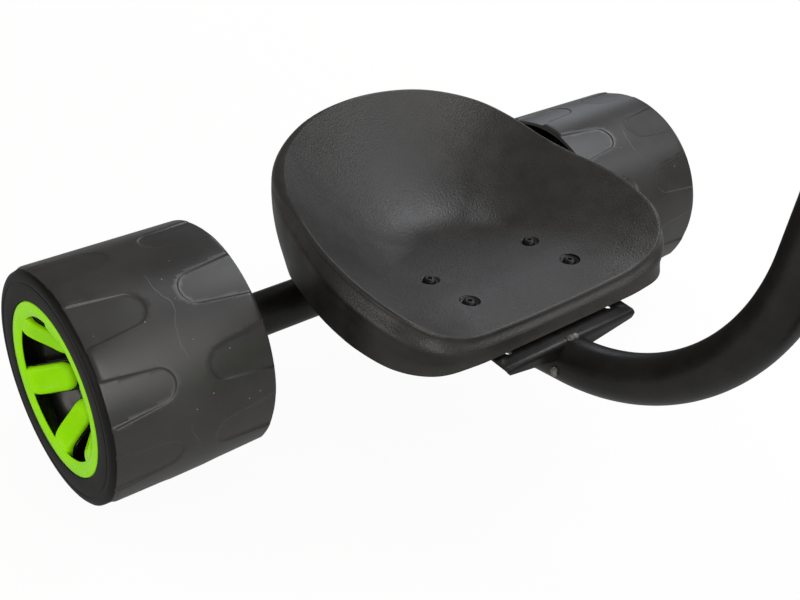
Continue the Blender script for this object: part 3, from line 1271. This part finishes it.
# Cranks and pedals
CRANK = 110
CRANK_INNER = 64
CRANK_DEPTH = 12
PEDAL_GAP = 5
PEDAL_HALF = 38
for side, sign in SIDES.items():
    reach = -sign * CRANK
    lean = math.degrees(math.asin(4 / CRANK))
    ahead = 1 if reach > 0 else -1
    outline = arc((0, 0), 16, 90 + lean, 270 - lean, 30) + arc((CRANK, 0), 12, -90 + lean, 90 - lean, 26)
    arm = solid_mesh(extruded([(ahead * x, z) for x, z in outline],
                              *sorted((sign * CRANK_INNER, sign * (CRANK_INNER + CRANK_DEPTH)))), FRONT)
    groove = arc((26, 0), 5.5, 90, 270, 12) + arc((CRANK - 22, 0), 4.2, -90, 90, 12)
    groove_ends = sorted(sign * (CRANK_INNER + CRANK_DEPTH + h) for h in (-2.4, 5))
    groove_tool = solid_mesh(extruded([(ahead * x, z) for x, z in groove], *groove_ends), FRONT)
    dressed(f"crank_arm_{side}", bevelled(worked(arm, [("DIFFERENCE", groove_tool)]), 1.1, 3), WHEEL_BLACK,
            sharp=35, node=f"crank_{side}")
    cap = [(0, 78.3), (6.4, 78.3), (7.2, 77.6), (7.4, 76.2), (0, 76.2)]
    piece(f"crank_bolt_{side}", lathe(raised(cap, 0, sign), 48), WHEEL_BLACK, FRONT, sharp=35)
    spindle_at = FRONT @ shift(reach, 0, 0)
    end = CRANK_DEPTH + PEDAL_GAP + 2 * PEDAL_HALF
    profile = [(0, 0), (5.2, 0), (6, 0.8), (6, CRANK_DEPTH), (8.4, 12.2), (8.4, 15.6), (6, 15.8), (6, end - 1),
               (5, end), (0, end)]
    piece(f"pedal_axle_{side}", lathe(raised(profile, sign * CRANK_INNER, sign), 48),
          ("front_wheel", "zinc_steel", ZINC), spindle_at, node=f"pedal_spindle_{side}")

    pedal_at = FRONT @ shift(reach, sign * (CRANK_INNER + CRANK_DEPTH + PEDAL_GAP + PEDAL_HALF), 0)
    outer, inner = rounded(42, PEDAL_HALF, 9, 10), rounded(35, PEDAL_HALF - 7, 5, 10)
    levels = ((outer, -11), (outer, 11), (inner, 11), (inner, -11))
    cage = np.array([(x, y, z) for outline, z in levels for x, y in outline]), quads(4, len(outer), closed=True)
    pedal = (f"pedal_{side}", "pedal_plastic", PEDAL)
    piece(f"pedal_cage_{side}", cage, pedal, pedal_at, bevel=1.4, steps=3, node=f"pedal_{side}")
    barrel = tube(6.4, 10.4, -37, 37, 56)
    piece(f"pedal_barrel_{side}", barrel, pedal, pedal_at, bevel=0.8)
    for row_index, row_y in enumerate((-19, 0, 19)):
        for end_index, end_sign in enumerate((-1, 1)):
            block = moved(rounded_box(12.6, 3.2, -8.4, 8.4, 1.6, 4), shift(end_sign * 22, row_y, 0))
            piece(f"pedal_rib_{side}_{row_index}_{end_index}", block, pedal, pedal_at, bevel=0.8)
    studs = []
    for face_sign in (-1, 1):
        for x in (-38.4, 38.4):
            for y in np.linspace(-28, 28, 8):
                points, faces = moved(lathe([(0, 0), (2.1, 0), (1.9, 1.0), (1.2, 1.6), (0, 1.7)], 16), Y_TO_Z)
                studs.append((points * (1, 1, face_sign) + (x, y, face_sign * 9.2), faces))
    piece(f"pedal_studs_{side}", joined(*studs), pedal, pedal_at, sharp=60)

# Stem with its faceplate, cap and bolts
STEM_REACH = 46
sleeve = tube(14.7, 20, STEM_START, STEM_END)
piece("stem_sleeve", sleeve, STEERING_BLACK, UP_STEER, bevel=1.2, steps=3, node="stem")
neck_outline = [(15, STEM_MIDDLE - 13), (STEM_REACH - 6, STEM_MIDDLE - 12), (STEM_REACH - 6, STEM_MIDDLE + 12),
                (15, STEM_MIDDLE + 13)]
piece("stem_neck", extruded(neck_outline, -14, 14), STEERING_BLACK, STEER, bevel=3.5, steps=4)
for name, node, start, end, gap in (("stem_clamp", None, 90, 270, -0.5),
                                    ("stem_faceplate_cap", "stem_faceplate", -90, 90, 0.5)):
    outline = arc((STEM_REACH, STEM_MIDDLE), 17, start, end, 32) + arc((STEM_REACH, STEM_MIDDLE), 11.4, end, start, 24)
    outline = [((min if gap < 0 else max)(x, STEM_REACH + gap), z) for x, z in outline]
    piece(name, extruded(outline, -24, 24), STEERING_BLACK, STEER, node=node, bevel=1.0, steps=3)
for k, (bolt_y, bolt_z) in enumerate(((-17, -13.6), (17, -13.6), (-17, 13.6), (17, 13.6))):
    boss = rod(4.2, -9, 8.5, 32)
    at = STEER @ shift(STEM_REACH, bolt_y, STEM_MIDDLE + bolt_z) @ turn("Z", -math.pi / 2)
    piece(f"faceplate_boss_{k}", boss, STEERING_BLACK, at, bevel=0.7)
    head = moved(button_bolt(8.5, 6.0), np.diag((0.62, 1, 0.62, 1)))
    piece(f"faceplate_bolt_{k}", head, STEERING_ZINC, at @ shift(0, -0.3, 0), sharp=32)
cap_low = STEM_END + 0.3
cap = raised([(0, 0), (18, 0), (18, 3), (16.6, 4.6), (14, 5), (6.4, 5), (6.2, 3.2), (0, 3.2)], cap_low)
piece("top_cap_disc", lathe(cap, 96), STEERING_BLACK, UP_STEER, bevel=0.3, node="top_cap")
cap_bolt = moved(button_bolt(0, -2), np.diag((0.9, 0.55, 0.9, 1)))
piece("top_cap_bolt", cap_bolt, STEERING_ZINC, UP_STEER @ shift(0, cap_low + 3.2, 0), sharp=32)

# Handlebar with its crossbar, and the grips
BAR_RADIUS = 11.1
BAR_HALF = 290
BAR_RISE = 118
FOOT_HALF = 56
SHOULDER_HALF = 118
BAR_CORNERS = np.array((
    (STEM_REACH - 30, BAR_HALF, STEM_MIDDLE + BAR_RISE), (STEM_REACH, SHOULDER_HALF, STEM_MIDDLE + BAR_RISE),
    (STEM_REACH, FOOT_HALF, STEM_MIDDLE),
))
bar_path = bent([*BAR_CORNERS, *(BAR_CORNERS[::-1] * (1, -1, 1))], [55, 45, 45, 55])
piece("handlebar_round", along(bar_path, BAR_RADIUS, 40), STEERING_PAINT, STEER, node="handlebar")
bar_end, shoulder, foot = BAR_CORNERS
bar_way = shoulder - foot
cross_at = foot + 0.62 * bar_way
cross_path = [(cross_at[0], y, cross_at[2]) for y in np.linspace(-cross_at[1], cross_at[1], 30)]
piece("crossbar", along(cross_path, 8, 36), STEERING_PAINT, STEER)
for side, sign in SIDES.items():
    centre = cross_at * (1, sign, 1)
    way = bar_way * (1, sign, 1)
    line = joint_line(8, np.zeros(3), np.array((0, -sign, 0)), BAR_RADIUS, way, 60) + centre
    piece(f"weld_crossbar_{side}", closed_bead(line, 1.9, 40 + sign), STEERING_PAINT, STEER, sharp=80)


GRIP_LENGTH = 112
RIB_PITCH = 5.2


def grip_form():
    start = -GRIP_LENGTH
    profile = [(BAR_RADIUS + 0.3, start), (18.2, start), (19, start + 0.8), (19, start + 4.2), (18.2, start + 5),
               (15.6, start + 5.4)]
    y = start + 9.0
    while y < -7:
        profile += [(15.3, y), (14.4, y + 0.5), (14.4, y + 1.5), (15.3, y + 2.0), (15.5, y + 3.6)]
        y += RIB_PITCH
    profile += [(15.5, -3.5), (15.4, 1.5), (14.7, 3.3), (13, 4), (3.2, 4), (3.0, 3.2), (0, 3.2), (0, 0.3),
                (BAR_RADIUS + 0.3, 0.3)]
    return lathe(profile, 72)


for side, sign in SIDES.items():
    end = bar_end * (1, sign, 1)
    way = Vector(end - shoulder * (1, sign, 1)).normalized()
    spin = np.array(Vector((0, 1, 0)).rotation_difference(way).to_matrix().to_4x4())
    piece(f"grip_sleeve_{side}", grip_form(), ("steering", "grip_rubber", GRIP), STEER @ shift(*end) @ spin,
          sharp=40, node=f"grip_{side}")

# Finishes of the nodes that show as they are
for part in frame["record"]["subparts"]:
    shown = frame["nodes"][part["node"]].data.materials
    shown.clear()
    shown.append(SLOT_MATERIALS[part["material_slot"]])

stage.view_settings.view_transform = "Standard"

# Stage: a pale floor, and white all round for the camera
FLOOR_HALF = 3.0
FLOOR_DROP = 0.0004
FLOOR_GLOW = 0.95
MIRRORED_ROOM = 0.12
MIRRORED_FLOOR = 0.36


def seen_rays(n, mirrored_strength):
    """How much of a ray sees the white backdrop, and how bright it is there."""
    rays = n.new("LightPath").outputs
    camera = rays["Is Camera Ray"]
    others = n.math("MAXIMUM", rays["Is Glossy Ray"], rays["Is Transmission Ray"])
    return n.math("MAXIMUM", camera, others), n.math("MAXIMUM", camera, mirrored_strength)


def show(n, share, plain, white, output):
    """Shows a plain shader, and a white one for a share of the rays."""
    mixer = n.new("MixShader", {0: share, 1: plain.outputs[0], 2: white.outputs[0]})
    n.link(mixer.outputs[0], n.tree.nodes[output].inputs["Surface"])


def make_floor():
    n = new_material("floor_paper")
    paper = n.finish(n.mix(n.span(n.noise(3.0), 0.3, 0.7), *greys(0.66, 0.7)), 0.9)
    seen, strength = seen_rays(n, MIRRORED_FLOOR)
    glow = n.new("Emission", {"Strength": strength})
    show(n, n.times(seen, FLOOR_GLOW), n.tree.nodes["Principled BSDF"], glow, "Material Output")
    mesh = bpy.data.meshes.new("floor")
    corners = [(x * FLOOR_HALF, y * FLOOR_HALF, 0) for x, y in ((-1, -1), (1, -1), (1, 1), (-1, 1))]
    mesh.from_pydata(corners, [], [(0, 1, 2, 3)])
    mesh.materials.append(paper)
    floor = added("floor", mesh)
    floor.location.z = -FLOOR_DROP


def make_world():
    stage.world = bpy.data.worlds.new("studio")
    n = Nodes(stage.world)
    room = n.tree.nodes["Background"]
    n.link((1.0, 0.94, 0.87, 1), room.inputs["Color"])
    n.link(0.95, room.inputs["Strength"])
    seen, strength = seen_rays(n, MIRRORED_ROOM)
    backdrop = n.new("Background", {"Color": (1, 1, 1, 1), "Strength": strength})
    show(n, seen, room, backdrop, "World Output")


make_floor()
make_world()

# Lamps: a place, a size, a power and a colour each, all aimed at the rear half
LAMP_AIM = Vector((-0.25, 0, 0.12))
TALL, SQUARE, LOW = (0.8, 1.6), (0.9, 0.9), (1.6, 0.4)
WARM, COOL, COLD = (1.0, 0.99, 0.97), (0.92, 0.95, 1.0), (0.86, 0.91, 1.0)
LAMPS = {
    "front_right_softbox": ((1.45, -0.456, 1.264), TALL, 7.2, WARM),
    "front_softbox": ((1.504, 0.153, 1.264), TALL, 14, WARM),
    "front_left_softbox": ((1.346, 0.744, 1.264), TALL, 3, (1.0, 0.99, 0.98)),
    "side_softbox": ((0.492, 1.286, 1.605), SQUARE, 6.8, COOL),
    "left_softbox": ((-0.454, 1.156, 1.861), SQUARE, 12.5, COOL),
    "back_softbox": ((-1.7, 1.35, 0.9), SQUARE, 3.5, COLD),
    "low_left_softbox": ((-0.607, 2.023, 0.557), SQUARE, 2, COLD),
    "right_fill": ((-0.25, -2.095, 0.266), LOW, 7.5, (1.0, 0.97, 0.93)),
}
for name, (place, size, power, color) in LAMPS.items():
    data = bpy.data.lights.new(name, "AREA")
    data.shape, data.energy, data.color = "RECTANGLE", power, color
    data.size, data.size_y = size
    light = added(name, data)
    light.location = place
    light.rotation_euler = (LAMP_AIM - Vector(place)).to_track_quat("-Z", "Y").to_euler()
    light.visible_camera = False
